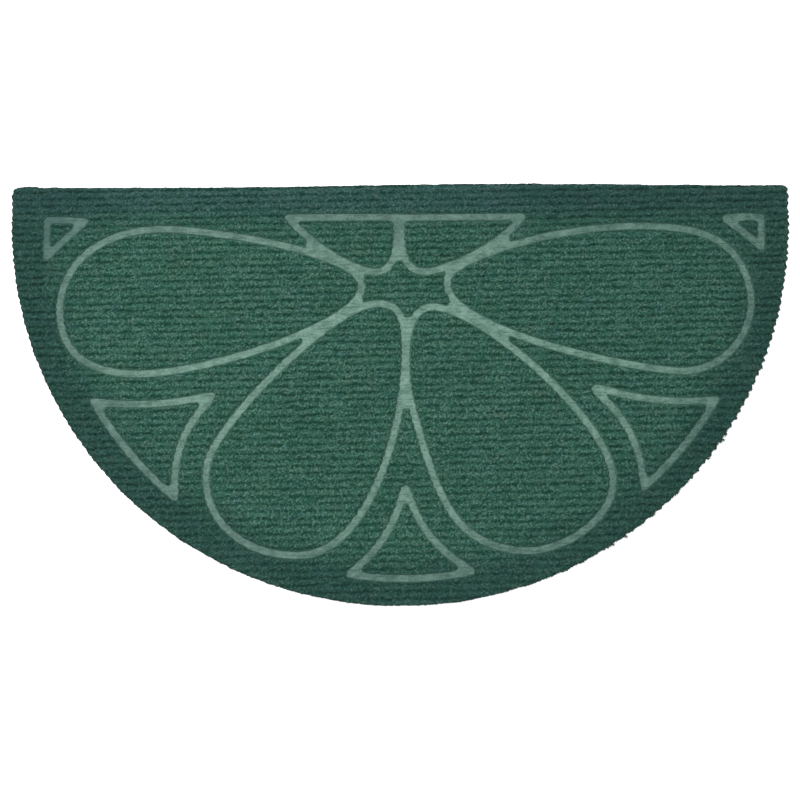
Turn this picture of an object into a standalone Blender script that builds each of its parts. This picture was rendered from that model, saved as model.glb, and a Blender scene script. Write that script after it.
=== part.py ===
"""A half-round ribbed felt doormat with a six-petal flower pressed into its pile.

The mat lies flat with its straight edge towards +Y and its round edge towards -Y.
Lengths in the tables are in millimetres, and the model is in metres.
"""

import math
from collections import namedtuple

import bmesh
import bpy
from mathutils import Matrix, Vector

MM = 0.001

# The cut outline: half a circle with a straight strip behind it
MAT_WIDTH = 750.0
ROUND_RADIUS = MAT_WIDTH / 2
STRAIGHT_STRIP = 25.0
MAT_DEPTH = ROUND_RADIUS + STRAIGHT_STRIP
BACK_CORNER_RADIUS = 3.0
EDGE_STEPS = 96
CORNER_STEPS = 4

# The felt: ribs with a narrow groove between them
MAT_THICKNESS = 7.0
RIB_PITCH = 6.92
RIB_GROOVE_WIDTH = 2.6
RIB_GROOVE_DEPTH = 2.2
RIB_SKEW_DEG = 0.75

# The lines that are pressed flat into the pile
LINE_WIDTH = 7.0
LINE_FLOOR = 3.6
CURVE_STEPS = 14
BOW_STEPS = 6

# Corners of the lines: how far an outer corner may stand from the pile's own corner,
# and how much of each side is rounded where an outline turns by more than this
BLUNT_CORNER = 12.0
ROUNDED_SIDE = 7.0
SHARP_TURN_DEG = 40.0
ROUNDING_STEPS = 3

# How far a cutter runs past what it cuts
CUT_MARGIN = 10.0

# The flower's middle, measured from the middle of the mat
ROUND_CENTRE_Y = MAT_DEPTH / 2 - STRAIGHT_STRIP
FLOWER_X = 4.0
FLOWER_Y = ROUND_CENTRE_Y - 74.0

# A knot of a petal's closed curve, from the flower's middle. The heading is the way
# the outline runs there, and the curve holds it this far before and after the knot.
Knot = namedtuple("Knot", "x y heading_deg before after")

# A corner of a three-sided panel. The side after it bows outwards by this much, and
# this much of the sides on both sides of the corner is rounded.
Corner = namedtuple("Corner", "x y bow rounding")

# Pile that stays standing. The felt gave a little when it was pressed, so the two
# sides of the flower aren't quite alike.
PETALS = {
    "right_side_petal": (
        Knot(44.5, 7.0, 77, 39, 17),
        Knot(232.0, 55.5, 359, 91, 50),
        Knot(328.0, -4.5, 279, 51, 36),
        Knot(256.0, -78.5, 174, 48, 76),
    ),
    "left_side_petal": (
        Knot(-45.0, 2.5, 95, 33, 22),
        Knot(-220.5, 55.0, 175, 85, 58),
        Knot(-327.5, -19.0, 270, 51, 38),
        Knot(-251.5, -78.5, 1, 51, 66),
    ),
    "right_lower_petal": (
        Knot(27.0, -22.5, 178, 43, 29),
        Knot(8.0, -108.0, 285, 18, 90),
        Knot(106.0, -247.5, 354, 63, 38),
        Knot(191.5, -182.0, 95, 37, 55),
    ),
    "left_lower_petal": (
        Knot(-27.5, -19.0, 1, 38, 18),
        Knot(-3.5, -55.0, 271, 28, 71),
        Knot(-98.0, -250.5, 183, 62, 50),
        Knot(-184.5, -170.5, 82, 50, 38),
    ),
    "right_upper_petal": (
        Knot(0.5, 65.5, 267, 0, 30),
        Knot(20.0, 19.0, 1, 17, 14),
        Knot(106.5, 65.5, 48, 37, 0),
    ),
    "left_upper_petal": (
        Knot(-11.0, 66.0, 273, 0, 30),
        Knot(-29.0, 19.0, 179, 15, 14),
        Knot(-104.5, 66.0, 132, 38, 0),
    ),
}
PANELS = {
    "right_corner_panel": (
        Corner(319.0, 63.5, 0.0, 8.0),
        Corner(341.5, 63.5, 0.0, 1.5),
        Corner(341.0, 45.0, -0.5, 3.0),
    ),
    "left_corner_panel": (
        Corner(-317.0, 64.0, 0.5, 6.5),
        Corner(-342.0, 65.0, 0.0, 2.0),
        Corner(-342.0, 40.0, -0.5, 6.0),
    ),
    "right_side_panel": (
        Corner(188.0, -103.0, -4.7, 6.0),
        Corner(288.0, -114.0, 3.3, 6.0),
        Corner(227.0, -185.0, -9.2, 5.0),
    ),
    "left_side_panel": (
        Corner(-191.5, -108.0, -4.0, 10.0),
        Corner(-290.0, -112.5, 4.0, 10.0),
        Corner(-221.5, -192.0, -9.5, 8.0),
    ),
    "front_panel": (
        Corner(-0.5, -201.0, -7.7, 10.0),
        Corner(52.0, -268.0, 4.0, 8.0),
        Corner(-45.5, -269.5, -6.4, 7.0),
    ),
}

# Webs: where two lines run together, the pile between them is pressed too.
# Each is a row of (x, y) corners. It may run over a petal, which stays standing.
WEBS = {
    "right_side_web": (
        (40.0, 0.5),
        (40.6, -5.8),
        (42.6, -11.5),
        (42.2, -15.8),
        (38.0, -24.0),
        (96.0, -62.0),
        (101.0, -42.0),
        (60.0, -8.0),
    ),
    "left_side_web": (
        (-39.5, 1.0),
        (-39.5, -5.0),
        (-40.7, -10.5),
        (-40.2, -13.8),
        (-36.0, -21.5),
        (-96.0, -62.0),
        (-101.0, -42.0),
        (-60.0, -8.0),
    ),
    "right_upper_web": (
        (39.0, 2.5),
        (38.2, 12.4),
        (42.0, 27.0),
        (100.5, 57.0),
        (103.5, 35.0),
        (60.0, 8.0),
    ),
    "left_upper_web": (
        (-39.6, 2.5),
        (-38.6, 13.4),
        (-42.0, 28.0),
        (-93.5, 55.0),
        (-96.5, 33.0),
        (-60.0, 8.0),
    ),
    "upper_stem_web": (
        (-9.5, 26.3),
        (-0.5, 26.3),
        (2.5, 64.0),
        (2.5, 72.5),
        (-13.5, 72.5),
        (-13.5, 64.0),
    ),
    "lower_stem_web": (
        (0.7, -28.4),
        (5.7, -28.4),
        (13.0, -38.0),
        (15.5, -117.0),
        (-12.5, -117.0),
        (-8.0, -38.0),
    ),
}


def clear_scene():
    for obj in list(bpy.data.objects):
        bpy.data.objects.remove(obj, do_unlink=True)


def material(name, colour, roughness):
    made = bpy.data.materials.new(name)
    made.use_nodes = True
    shader = made.node_tree.nodes["Principled BSDF"]
    shader.inputs["Base Color"].default_value = (*colour, 1.0)
    shader.inputs["Roughness"].default_value = roughness
    shader.inputs["Metallic"].default_value = 0.0
    return made


def heading(degrees):
    angle = math.radians(degrees)
    return Vector((math.cos(angle), math.sin(angle)))


def curved_outline(knots):
    """Points along the closed Bezier curve through the knots."""
    points = []
    for here, there in zip(knots, knots[1:] + knots[:1]):
        start = Vector((here.x, here.y))
        end = Vector((there.x, there.y))
        leave = start + heading(here.heading_deg) * here.after
        arrive = end - heading(there.heading_deg) * there.before
        is_straight = here.after == 0 and there.before == 0
        steps = 1 if is_straight else CURVE_STEPS
        for i in range(steps):
            t = i / steps
            near_ends = start * (1 - t) ** 3 + end * t**3
            points.append(near_ends + leave * 3 * t * (1 - t) ** 2 + arrive * 3 * t**2 * (1 - t))
    return points


def bend(start, corner, end, steps):
    """Points of a curve from start to end that leans towards the corner."""
    turns = [i / steps for i in range(steps + 1)]
    return [start * (1 - t) ** 2 + corner * 2 * t * (1 - t) + end * t**2 for t in turns]


def bowed_side(here, there, middle, is_rounded):
    """One side of a panel, less what is rounded at its two corners."""
    start = Vector((here.x, here.y))
    end = Vector((there.x, there.y))
    length = (end - start).length
    outward = (end - start).orthogonal().normalized()
    if outward.dot((start + end) / 2 - middle) < 0:
        outward.negate()
    first = here.rounding / length if is_rounded else 0.0
    last = 1.0 - there.rounding / length if is_rounded else 1.0
    points = []
    for i in range(BOW_STEPS + 1):
        t = first + (last - first) * i / BOW_STEPS
        points.append(start.lerp(end, t) + outward * here.bow * 4 * t * (1 - t))
    return points


def bowed_outline(corners, is_rounded):
    """Points round a panel whose sides are shallow bows between its corners."""
    middle = sum((Vector((corner.x, corner.y)) for corner in corners), Vector((0, 0))) / len(corners)
    points = []
    sides = [bowed_side(*pair, middle, is_rounded) for pair in zip(corners, corners[1:] + corners[:1])]
    for side, following, corner in zip(sides, sides[1:] + sides[:1], corners[1:] + corners[:1]):
        points += side[:-1]
        if is_rounded:
            points += bend(side[-1], Vector((corner.x, corner.y)), following[0], ROUNDING_STEPS)[:-1]
    return points


def counterclockwise(points):
    area = sum(a.cross(b) for a, b in zip(points, points[1:] + points[:1]))
    return points if area > 0 else points[::-1]


def rounded(points):
    """The outline with its sharp corners rounded, as pressed felt can't hold a point."""
    smooth = []
    for before, here, after in zip(points[-1:] + points[:-1], points, points[1:] + points[:1]):
        arriving = here - before
        leaving = after - here
        if math.degrees(arriving.angle(leaving)) < SHARP_TURN_DEG:
            smooth.append(here)
            continue
        start = here - arriving.normalized() * min(ROUNDED_SIDE, 0.45 * arriving.length)
        end = here + leaving.normalized() * min(ROUNDED_SIDE, 0.45 * leaving.length)
        smooth += bend(start, here, end, ROUNDING_STEPS)
    return smooth


def grown(points, distance):
    """The outline moved outwards, with its sharp corners cut off blunt."""
    points = counterclockwise(points)
    outer = []
    for before, here, after in zip(points[-1:] + points[:-1], points, points[1:] + points[:1]):
        first = (here - before).normalized()
        second = (after - here).normalized()
        first_out = Vector((first.y, -first.x))
        second_out = Vector((second.y, -second.x))
        bisector = (first_out + second_out).normalized()
        reach = distance / bisector.dot(first_out)
        if reach <= BLUNT_CORNER:
            outer.append(here + bisector * reach)
            continue
        across = Vector((-bisector.y, bisector.x))
        half_flat = (reach - BLUNT_CORNER) * bisector.dot(first_out) / abs(across.dot(first_out))
        outer.append(here + bisector * BLUNT_CORNER - across * half_flat)
        outer.append(here + bisector * BLUNT_CORNER + across * half_flat)
    return outer


def about_flower(points):
    return [Vector((x + FLOWER_X, y + FLOWER_Y)) for x, y in points]


def pile_panels():
    """Outlines of the petals and panels that stay standing."""
    panels = {name: about_flower(rounded(curved_outline(knots))) for name, knots in PETALS.items()}
    panels |= {name: about_flower(bowed_outline(corners, True)) for name, corners in PANELS.items()}
    return panels


def line_rims():
    """Outer outlines of the lines, a line's width outside the petals and panels."""
    sharp = {name: about_flower(curved_outline(knots)) for name, knots in PETALS.items()}
    sharp |= {name: about_flower(bowed_outline(corners, False)) for name, corners in PANELS.items()}
    return {name: rounded(grown(points, LINE_WIDTH)) for name, points in sharp.items()}


def prism(name, outline, bottom, top):
    """A closed upright prism on a plan outline."""
    outline = counterclockwise(outline)
    mesh = bpy.data.meshes.new(name)
    bm = bmesh.new()
    lower = bm.faces.new([bm.verts.new((p.x * MM, p.y * MM, bottom * MM)) for p in outline])
    raised = bmesh.ops.extrude_face_region(bm, geom=[lower])["geom"]
    corners = [item for item in raised if isinstance(item, bmesh.types.BMVert)]
    bmesh.ops.translate(bm, verts=corners, vec=(0, 0, (top - bottom) * MM))
    bmesh.ops.recalc_face_normals(bm, faces=bm.faces)
    bm.to_mesh(mesh)
    bm.free()
    obj = bpy.data.objects.new(name, mesh)
    bpy.context.scene.collection.objects.link(obj)
    return obj


def as_cutter(obj):
    obj.hide_render = True
    obj.display_type = "WIRE"
    return obj


def gather(name, cutters):
    """A collection of cutters, for one Boolean."""
    group = bpy.data.collections.new(name)
    bpy.context.scene.collection.children.link(group)
    for cutter in cutters:
        bpy.context.scene.collection.objects.unlink(cutter)
        group.objects.link(as_cutter(cutter))
    return group


def boolean(obj, operation, other):
    modifier = obj.modifiers.new(operation.title(), "BOOLEAN")
    modifier.operation = operation
    modifier.solver = "EXACT"
    if isinstance(other, bpy.types.Collection):
        modifier.operand_type = "COLLECTION"
        modifier.collection = other
    else:
        modifier.object = other


def arc(centre, radius, start_deg, end_deg, steps):
    turns = [start_deg + (end_deg - start_deg) * i / steps for i in range(steps + 1)]
    return [centre + heading(degrees) * radius for degrees in turns]


def mat_outline():
    """The half-round plan of the mat."""
    corner_x = ROUND_RADIUS - BACK_CORNER_RADIUS
    corner_y = MAT_DEPTH / 2 - BACK_CORNER_RADIUS
    round_edge = arc(Vector((0, ROUND_CENTRE_Y)), ROUND_RADIUS, -180, 0, EDGE_STEPS)
    right_corner = arc(Vector((corner_x, corner_y)), BACK_CORNER_RADIUS, 0, 90, CORNER_STEPS)
    left_corner = arc(Vector((-corner_x, corner_y)), BACK_CORNER_RADIUS, 90, 180, CORNER_STEPS)
    return round_edge + right_corner + left_corner


def rib_profile():
    """The felt's section across the ribs, as (y, z) points from front to back."""
    ribs_each_side = math.ceil((MAT_DEPTH / 2 + CUT_MARGIN) / RIB_PITCH)
    shoulder = RIB_GROOVE_WIDTH / 2
    top = []
    for rib in range(-ribs_each_side, ribs_each_side + 1):
        groove = rib * RIB_PITCH
        top.append((groove - shoulder, MAT_THICKNESS))
        top.append((groove, MAT_THICKNESS - RIB_GROOVE_DEPTH))
        top.append((groove + shoulder, MAT_THICKNESS))
    return [(top[0][0], 0.0), *top, (top[-1][0], 0.0)]


def ribbed_felt():
    """A length of ribbed felt, larger than the mat, with its ribs slightly askew."""
    mesh = bpy.data.meshes.new("mat")
    bm = bmesh.new()
    reach = MAT_WIDTH / 2 + CUT_MARGIN
    end = bm.faces.new([bm.verts.new((-reach * MM, y * MM, z * MM)) for y, z in rib_profile()])
    drawn = bmesh.ops.extrude_face_region(bm, geom=[end])["geom"]
    corners = [item for item in drawn if isinstance(item, bmesh.types.BMVert)]
    bmesh.ops.translate(bm, verts=corners, vec=(2 * reach * MM, 0, 0))
    bmesh.ops.recalc_face_normals(bm, faces=bm.faces)
    bmesh.ops.rotate(bm, verts=bm.verts, matrix=Matrix.Rotation(math.radians(RIB_SKEW_DEG), 3, "Z"))
    bm.to_mesh(mesh)
    bm.free()
    obj = bpy.data.objects.new("mat", mesh)
    bpy.context.scene.collection.objects.link(obj)
    return obj


def pressed_lines():
    """The cutter for the lines: everything inside their rims, less the pile that stays."""
    over = MAT_THICKNESS + CUT_MARGIN
    under = LINE_FLOOR - CUT_MARGIN
    rims = [prism(f"rim_{name}", points, LINE_FLOOR, over) for name, points in line_rims().items()]
    fills = [prism(name, about_flower(points), LINE_FLOOR, over) for name, points in WEBS.items()]
    kept = [
        prism(f"kept_{name}", points, under, over + CUT_MARGIN)
        for name, points in pile_panels().items()
    ]
    lines = as_cutter(rims.pop(0))
    lines.name = "pressed_lines"
    boolean(lines, "UNION", gather("rims", rims + fills))
    boolean(lines, "DIFFERENCE", gather("kept_panels", kept))
    return lines


def build_mat():
    felt = ribbed_felt()
    plan = as_cutter(prism("mat_outline", mat_outline(), -CUT_MARGIN, MAT_THICKNESS + CUT_MARGIN))
    boolean(felt, "INTERSECT", plan)
    boolean(felt, "DIFFERENCE", pressed_lines())
    felt.data.materials.append(material("green_felt", (0.035, 0.1, 0.075), 0.95))
    return felt


clear_scene()
build_mat()
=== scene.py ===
# A half-round felt doormat: ribbed pile, a flower of pressed lines, a fringed cut edge and a plain back.
# Plan sizes are in millimetres and are turned into metres when a mesh is made.
import math

import bpy
import numpy as np
from mathutils import Euler, Matrix, kdtree


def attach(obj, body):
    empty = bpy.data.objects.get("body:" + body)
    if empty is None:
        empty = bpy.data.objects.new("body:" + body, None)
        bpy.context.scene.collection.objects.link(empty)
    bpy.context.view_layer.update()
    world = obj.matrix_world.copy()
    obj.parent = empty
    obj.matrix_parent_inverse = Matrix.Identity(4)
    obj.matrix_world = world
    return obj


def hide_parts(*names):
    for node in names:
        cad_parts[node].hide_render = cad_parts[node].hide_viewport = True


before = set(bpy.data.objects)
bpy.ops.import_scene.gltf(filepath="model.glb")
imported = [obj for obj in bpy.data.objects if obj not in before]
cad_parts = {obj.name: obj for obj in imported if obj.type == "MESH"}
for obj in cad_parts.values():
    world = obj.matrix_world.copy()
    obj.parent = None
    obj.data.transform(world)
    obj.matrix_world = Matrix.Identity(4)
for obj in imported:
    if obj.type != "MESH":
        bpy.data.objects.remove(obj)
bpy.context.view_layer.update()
mm = 0.001
tiny = 1e-9  # keeps a division by a length of 0 away
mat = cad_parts["mat"]


# The ribs run a little askew, and everything that follows them uses the plan turned by this much
ribs = {
    "pitch": 6.92,
    "turn": 0.75,  # degrees, rising to the right
    "rowsPerRib": 9,
    "columnStep": 0.85,
    "waves": ((0.75, 12, 7, 21), (0.95, 3.4, 4, 22)),  # how far, cells along and across, seed
}
ribAxis = np.array((math.cos(math.radians(ribs["turn"])), math.sin(math.radians(ribs["turn"]))))


def alongRibs(points):
    # Plan points as (distance along the ribs, distance across them)
    return np.stack((points @ ribAxis, points @ np.array((-ribAxis[1], ribAxis[0]))), axis=-1)


def backToPlan(u, v):
    return u * ribAxis[0] - v * ribAxis[1], u * ribAxis[1] + v * ribAxis[0]


# Randomness that is the same each run
noiseCells = 1024
fineGain = 1.6  # brings fine noise to about -1 to 1


def eased(part):
    return part * part * (3 - 2 * part)


def ease(value, low, high):
    # 0 below low, 1 above high, smooth between
    return eased(np.clip((value - low) / (high - low), 0, 1))


def fade(distance, reach):
    # 1 at no distance, almost 0 at twice the reach
    return np.exp(-((distance / reach) ** 2))


def overCells(u, v, cellU, cellV, atCorner):
    # The values at a cell's four corners, blended smoothly over it
    gridU, gridV = u / cellU, v / cellV
    lowU, lowV = np.floor(gridU).astype(int), np.floor(gridV).astype(int)
    partU, partV = gridU - lowU, gridV - lowV

    def corner(stepU, stepV):
        place = (lowV + stepV) % noiseCells, (lowU + stepU) % noiseCells
        return atCorner(place, partU - stepU, partV - stepV)

    easeU, easeV = eased(partU), eased(partV)
    near = corner(0, 0) * (1 - easeU) + corner(1, 0) * easeU
    far = corner(0, 1) * (1 - easeU) + corner(1, 1) * easeU
    return near * (1 - easeV) + far * easeV


def softNoise(u, v, cellU, cellV, seed):
    # Soft hills from -1 to 1, one to each cell of cellU by cellV
    table = np.random.default_rng(seed).uniform(-1, 1, (noiseCells, noiseCells))
    return overCells(u, v, cellU, cellV, lambda place, fromU, fromV: table[place])


def fineNoise(u, v, cell, seed):
    # Close-set hills and dips, with no broad patches
    turn = np.random.default_rng(seed).uniform(0, 2 * np.pi, (noiseCells, noiseCells))
    slopeU, slopeV = np.cos(turn), np.sin(turn)
    return fineGain * overCells(u, v, cell, cell,
                                lambda place, fromU, fromV: slopeU[place] * fromU + slopeV[place] * fromV)


def hills(u, v, layers):
    # Layers of soft noise: (how much, cell along the ribs, cell across, seed)
    return sum(share * softNoise(u, v, along, across, seed) for share, along, across, seed in layers)


def fuzzOf(u, v, layers):
    # Layers of fine noise: (how much, cell, seed)
    return sum(share * fineNoise(u, v, cell, seed) for share, cell, seed in layers)


def wavyRibs(u, v):
    # The distance across the ribs, pushed about as they wander
    return v + hills(u, v, ribs["waves"])


def ribCrest(u, v):
    # 1 on the crest of a rib, -1 in the middle of a groove
    return np.cos(2 * np.pi * (wavyRibs(u, v) / ribs["pitch"] - 0.5))


# The plan, read from the mat's own solid
plan = {
    "lineFloor": 3.6,  # height of the pressed lines
    "corner": (375, 200),  # the right corner of the straight edge
    "cornerTurn": 26.0,  # degrees, a sharper turn than this stays a corner
    "straightOver": 30.0,  # a longer step than this is a straight side
    "spacing": 0.5,
    "cornerSoftness": 0.8,  # how far felt rounds a corner
    "cutSoftness": 0.9,  # the same at the two corners of the cut edge
    "raggedness": 0.204,  # how far fibres push a pressed line's side about
    "raggedFuzz": ((1, 2.6, 71), (1, 6.0, 72)),
    "ribPush": 0.4,  # how far a rib's end swells over it
    # The straight edge was cut by eye: (x, how far it stands out there)
    "straightEdge": ((-375, -0.5), (-370, 1.5), (-360, 2.8), (-353, 1.6), (-345, 1.2), (-300, 0.9),
                     (-180, 0.4), (-120, 0.5), (0, 1.9), (60, 2.5), (115, 2.7), (145, 2.3), (165, 1.6),
                     (205, 1.6), (250, 0.1), (275, 0.3), (300, -0.3), (340, -0.6), (375, -0.4)),
    "straightBand": (30, 2),  # how far in front of it that comes in
}
faceTolerance = 0.01  # millimetres, for a level face of the solid


def weldedSolid():
    # The solid's points in millimetres, and its triangles
    mesh = mat.data
    places = np.empty(len(mesh.vertices) * 3)
    mesh.vertices.foreach_get("co", places)
    mesh.calc_loop_triangles()
    corners = np.empty(len(mesh.loop_triangles) * 3, dtype=int)
    mesh.loop_triangles.foreach_get("vertices", corners)
    points, index = np.unique(np.round(places.reshape(-1, 3) / mm, 3), axis=0, return_inverse=True)
    return points, index.reshape(-1)[corners].reshape(-1, 3)


def outlinesAt(height):
    # Closed outlines of the solid's level faces at one height
    points, triangles = weldedSolid()
    level = triangles[np.all(np.abs(points[triangles][:, :, 2] - height) < faceTolerance, axis=1)]
    edges = {(a, b) for face in level.tolist() for a, b in zip(face, face[1:] + face[:1])}
    following = {a: b for a, b in edges if (b, a) not in edges}
    outlines = []
    while following:
        start = next(iter(following))
        outline = [start]
        step = following.pop(start)
        while step != start:
            outline.append(step)
            step = following.pop(step)
        outlines.append(points[outline][:, :2])
    return outlines


def curvedThrough(outline):
    # A finer outline: curves through the facets of a round side, and corners and straight sides kept
    before = outline - np.roll(outline, 1, axis=0)
    after = np.roll(outline, -1, axis=0) - outline
    turn = np.abs(np.angle(np.exp(1j * (np.arctan2(after[:, 1], after[:, 0])
                                        - np.arctan2(before[:, 1], before[:, 0])))))
    lengthBefore, lengthAfter = np.hypot(*before.T), np.hypot(*after.T)
    sharp = np.degrees(turn) > plan["cornerTurn"]
    sharp |= (lengthBefore > plan["straightOver"]) | (lengthAfter > plan["straightOver"])
    heading = before / lengthBefore[:, None] ** 2 + after / lengthAfter[:, None] ** 2
    heading /= np.maximum(np.hypot(*heading.T), tiny)[:, None]
    fine = []
    for i in range(len(outline)):
        j = (i + 1) % len(outline)
        span = lengthAfter[i]
        leave = after[i] / span if sharp[i] else heading[i]
        arrive = after[i] / span if sharp[j] else heading[j]
        t = np.arange(0, 1, 1 / max(1, round(span / plan["spacing"])))[:, None]
        fine.append(outline[i] * (2 * t**3 - 3 * t**2 + 1) + outline[j] * (3 * t**2 - 2 * t**3)
                    + leave * span * (t**3 - 2 * t**2 + t) + arrive * span * (t**3 - t**2))
    return softened(np.concatenate(fine), plan["cornerSoftness"])


def softened(outline, reach):
    # Even steps along the outline, then corners rounded over the reach
    steps = np.hypot(*(np.roll(outline, -1, axis=0) - outline).T)
    run = np.concatenate(([0], np.cumsum(steps)))
    closed = np.vstack((outline, outline[:1]))
    count = int(run[-1] / plan["spacing"])
    even = np.linspace(0, run[-1], count, endpoint=False)
    outline = np.stack([np.interp(even, run, closed[:, axis]) for axis in (0, 1)], axis=1)
    half = int(3 * reach / plan["spacing"])
    weights = np.exp(-0.5 * (np.arange(-half, half + 1) * plan["spacing"] / reach) ** 2)
    weights /= weights.sum()
    return sum(weight * np.roll(outline, shift, axis=0)
               for weight, shift in zip(weights, range(-half, half + 1)))


def outwardOf(outline):
    # The plan direction to the right of an outline at each of its points
    run = np.roll(outline, -1, axis=0) - np.roll(outline, 1, axis=0)
    return np.stack((run[:, 1], -run[:, 0]), 1) / np.hypot(*run.T)[:, None]


def ragged(outline):
    # The side of a pressed line, with the pile on its right
    out = outwardOf(outline)
    push = plan["raggedness"] * fuzzOf(*outline.T, plan["raggedFuzz"])
    push -= plan["ribPush"] * np.abs(out @ ribAxis) * ribCrest(*alongRibs(outline).T)
    return outline + out * push[:, None]


def cutByEye(outline):
    # The straight edge bent as it was cut
    x, y = outline.T
    places, reaches = zip(*plan["straightEdge"])
    low, high = (y.max() - distance for distance in plan["straightBand"])
    return np.stack((x, y + np.interp(x, places, reaches) * ease(y, low, high)), 1)


cutOutline = softened(cutByEye(curvedThrough(outlinesAt(0.0)[0])), plan["cutSoftness"])
lineOutlines = [ragged(curvedThrough(outline)) for outline in outlinesAt(plan["lineFloor"])]
print("plan:", len(lineOutlines), "outlines of the pressed lines")


# A grid over the whole mat, with its rows along the ribs. Where an outline crosses the grid, the nearest
# point of the grid is moved onto it, so that pile and lines meet on the outline itself.
gridMargin = 2  # cells


def gridLines(places, step):
    return np.arange(math.floor(places.min() / step) - gridMargin,
                     math.ceil(places.max() / step) + gridMargin + 1)


class FeltGrid:
    def __init__(self, columnStep, rowsPerRib, outlines):
        self.stepU = columnStep
        self.stepV = ribs["pitch"] / rowsPerRib
        self.outlines = [alongRibs(outline) for outline in outlines]  # the first is the cut edge
        self.columns = gridLines(self.outlines[0][:, 0], self.stepU)
        self.rows = gridLines(self.outlines[0][:, 1], self.stepV)
        self.u, self.v = np.meshgrid(self.columns * self.stepU, self.rows * self.stepV)
        self.side = np.zeros(self.u.shape, dtype=np.int64)  # one bit for each outline round the point
        self.onLine = np.zeros(self.u.shape, dtype=bool)
        self.onCut = np.zeros(self.u.shape, dtype=bool)
        self.settle(np.concatenate([self.crossed(outline, bit) for bit, outline in enumerate(self.outlines)]))

    def crossed(self, outline, bit):
        # Every place where the outline crosses a row or a column, as rows of
        # (row, column, new u, new v, distance moved, bit)
        u, v = outline[:, 0], outline[:, 1]
        row, placeU = crossings(v, u, self.stepV)
        column, placeV = crossings(u, v, self.stepU)
        row -= self.rows[0]
        column -= self.columns[0]
        gridU = placeU / self.stepU - self.columns[0]
        gridV = placeV / self.stepV - self.rows[0]
        counts = np.zeros((len(self.rows), len(self.columns) + 1), dtype=np.int64)
        np.add.at(counts, (row, np.ceil(gridU).astype(int)), 1)
        self.side |= (np.cumsum(counts, axis=1)[:, :-1] % 2) << bit
        nearU, nearV = np.round(gridU).astype(int), np.round(gridV).astype(int)
        alongRow = np.stack((row, nearU, placeU, (row + self.rows[0]) * self.stepV,
                             np.abs(gridU - nearU) * self.stepU, np.full(len(row), bit)), axis=1)
        alongColumn = np.stack((nearV, column, (column + self.columns[0]) * self.stepU, placeV,
                                np.abs(gridV - nearV) * self.stepV, np.full(len(column), bit)), axis=1)
        return np.concatenate((alongRow, alongColumn))

    def settle(self, moves):
        moves = moves[np.argsort(-moves[:, 4], kind="stable")]  # the shortest move comes last and stays
        row, column = moves[:, 0].astype(int), moves[:, 1].astype(int)
        self.u[row, column] = moves[:, 2]
        self.v[row, column] = moves[:, 3]
        self.onCut[row, column] = moves[:, 5] == 0
        self.onLine[row, column] = moves[:, 5] > 0


def crossings(across, along, step):
    # Where a closed outline crosses the lines across = index * step: the indexes and the places along
    start, end = across / step, np.roll(across, -1) / step
    alongEnd = np.roll(along, -1)
    first = np.ceil(np.minimum(start, end)).astype(int)
    count = np.ceil(np.maximum(start, end)).astype(int) - first
    which = np.repeat(np.arange(len(across)), count)
    offset = np.arange(len(which)) - np.repeat(np.cumsum(count) - count, count)
    index = first[which] + offset
    part = (index - start[which]) / (end[which] - start[which])
    return index, along[which] + part * (alongEnd[which] - along[which])


def trianglesOf(grid):
    # Two triangles to a cell, split so that none lies across an outline, each with its side
    count = grid.u.size
    index = np.arange(count).reshape(grid.u.shape)
    a, b = index[:-1, :-1].ravel(), index[:-1, 1:].ravel()
    c, d = index[1:, 1:].ravel(), index[1:, :-1].ravel()
    side, on = grid.side.ravel(), (grid.onLine | grid.onCut).ravel()
    apart = ~on[a] & ~on[c] & (side[a] != side[c])
    alternate = (a + b) % 2 == 0
    other = apart | (alternate & ~(~on[b] & ~on[d] & (side[b] != side[d])))
    first = np.where(other[:, None], np.stack((a, b, d), 1), np.stack((a, b, c), 1))
    second = np.where(other[:, None], np.stack((b, c, d), 1), np.stack((a, c, d), 1))
    triangles = np.concatenate((first, second))
    sides = np.full(len(triangles), -1)
    for corner in range(3):
        point = triangles[:, corner]
        known = (sides < 0) & ~on[point]
        sides[known] = side[point][known]
    unknown = np.flatnonzero(sides < 0)  # all three corners are on an outline
    middles = np.stack((grid.u.ravel(), grid.v.ravel()), 1)[triangles[unknown]].mean(axis=1)
    sides[unknown] = sideOf(middles, grid.outlines)
    return triangles, sides


def sideOf(places, outlines):
    # One bit for each outline that is round the place
    found = np.zeros(len(places), dtype=np.int64)
    for bit, outline in enumerate(outlines):
        u, v = outline.T
        endU, endV = np.roll(u, -1), np.roll(v, -1)
        below, above = v[None, :] <= places[:, 1:], endV[None, :] <= places[:, 1:]
        with np.errstate(divide="ignore", invalid="ignore"):
            reach = u + (places[:, 1:] - v) * (endU - u) / (endV - v)
        hits = (below != above) & (reach > places[:, :1])
        found |= (hits.sum(axis=1) % 2) << bit
    return found


def distanceTo(outlines, u, v):
    # The distance of each point from the nearest of the outlines
    places = alongRibs(np.concatenate(outlines))
    tree = kdtree.KDTree(len(places))
    for i, (x, y) in enumerate(places.tolist()):
        tree.insert((x, y, 0), i)
    tree.balance()
    return np.array([tree.find((x, y, 0))[2] for x, y in zip(u.tolist(), v.tolist())])


farAway = 99.0
grid = FeltGrid(ribs["columnStep"], ribs["rowsPerRib"], [cutOutline, *lineOutlines])
triangles, sides = trianglesOf(grid)
insideMat = (sides & 1) > 0
triangles, sides = triangles[insideMat], sides[insideMat] >> 1
used = np.unique(triangles)
gridU, gridV = grid.u.ravel(), grid.v.ravel()
toLine, toCut = np.full(gridU.shape, farAway), np.full(gridU.shape, farAway)
toLine[used] = distanceTo(lineOutlines, gridU[used], gridV[used])
toCut[used] = distanceTo([cutOutline], gridU[used], gridV[used])
toLine[grid.onLine.ravel()] = 0
toCut[grid.onCut.ravel()] = 0
print("grid:", len(used), "points,", len(triangles), "triangles")


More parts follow.
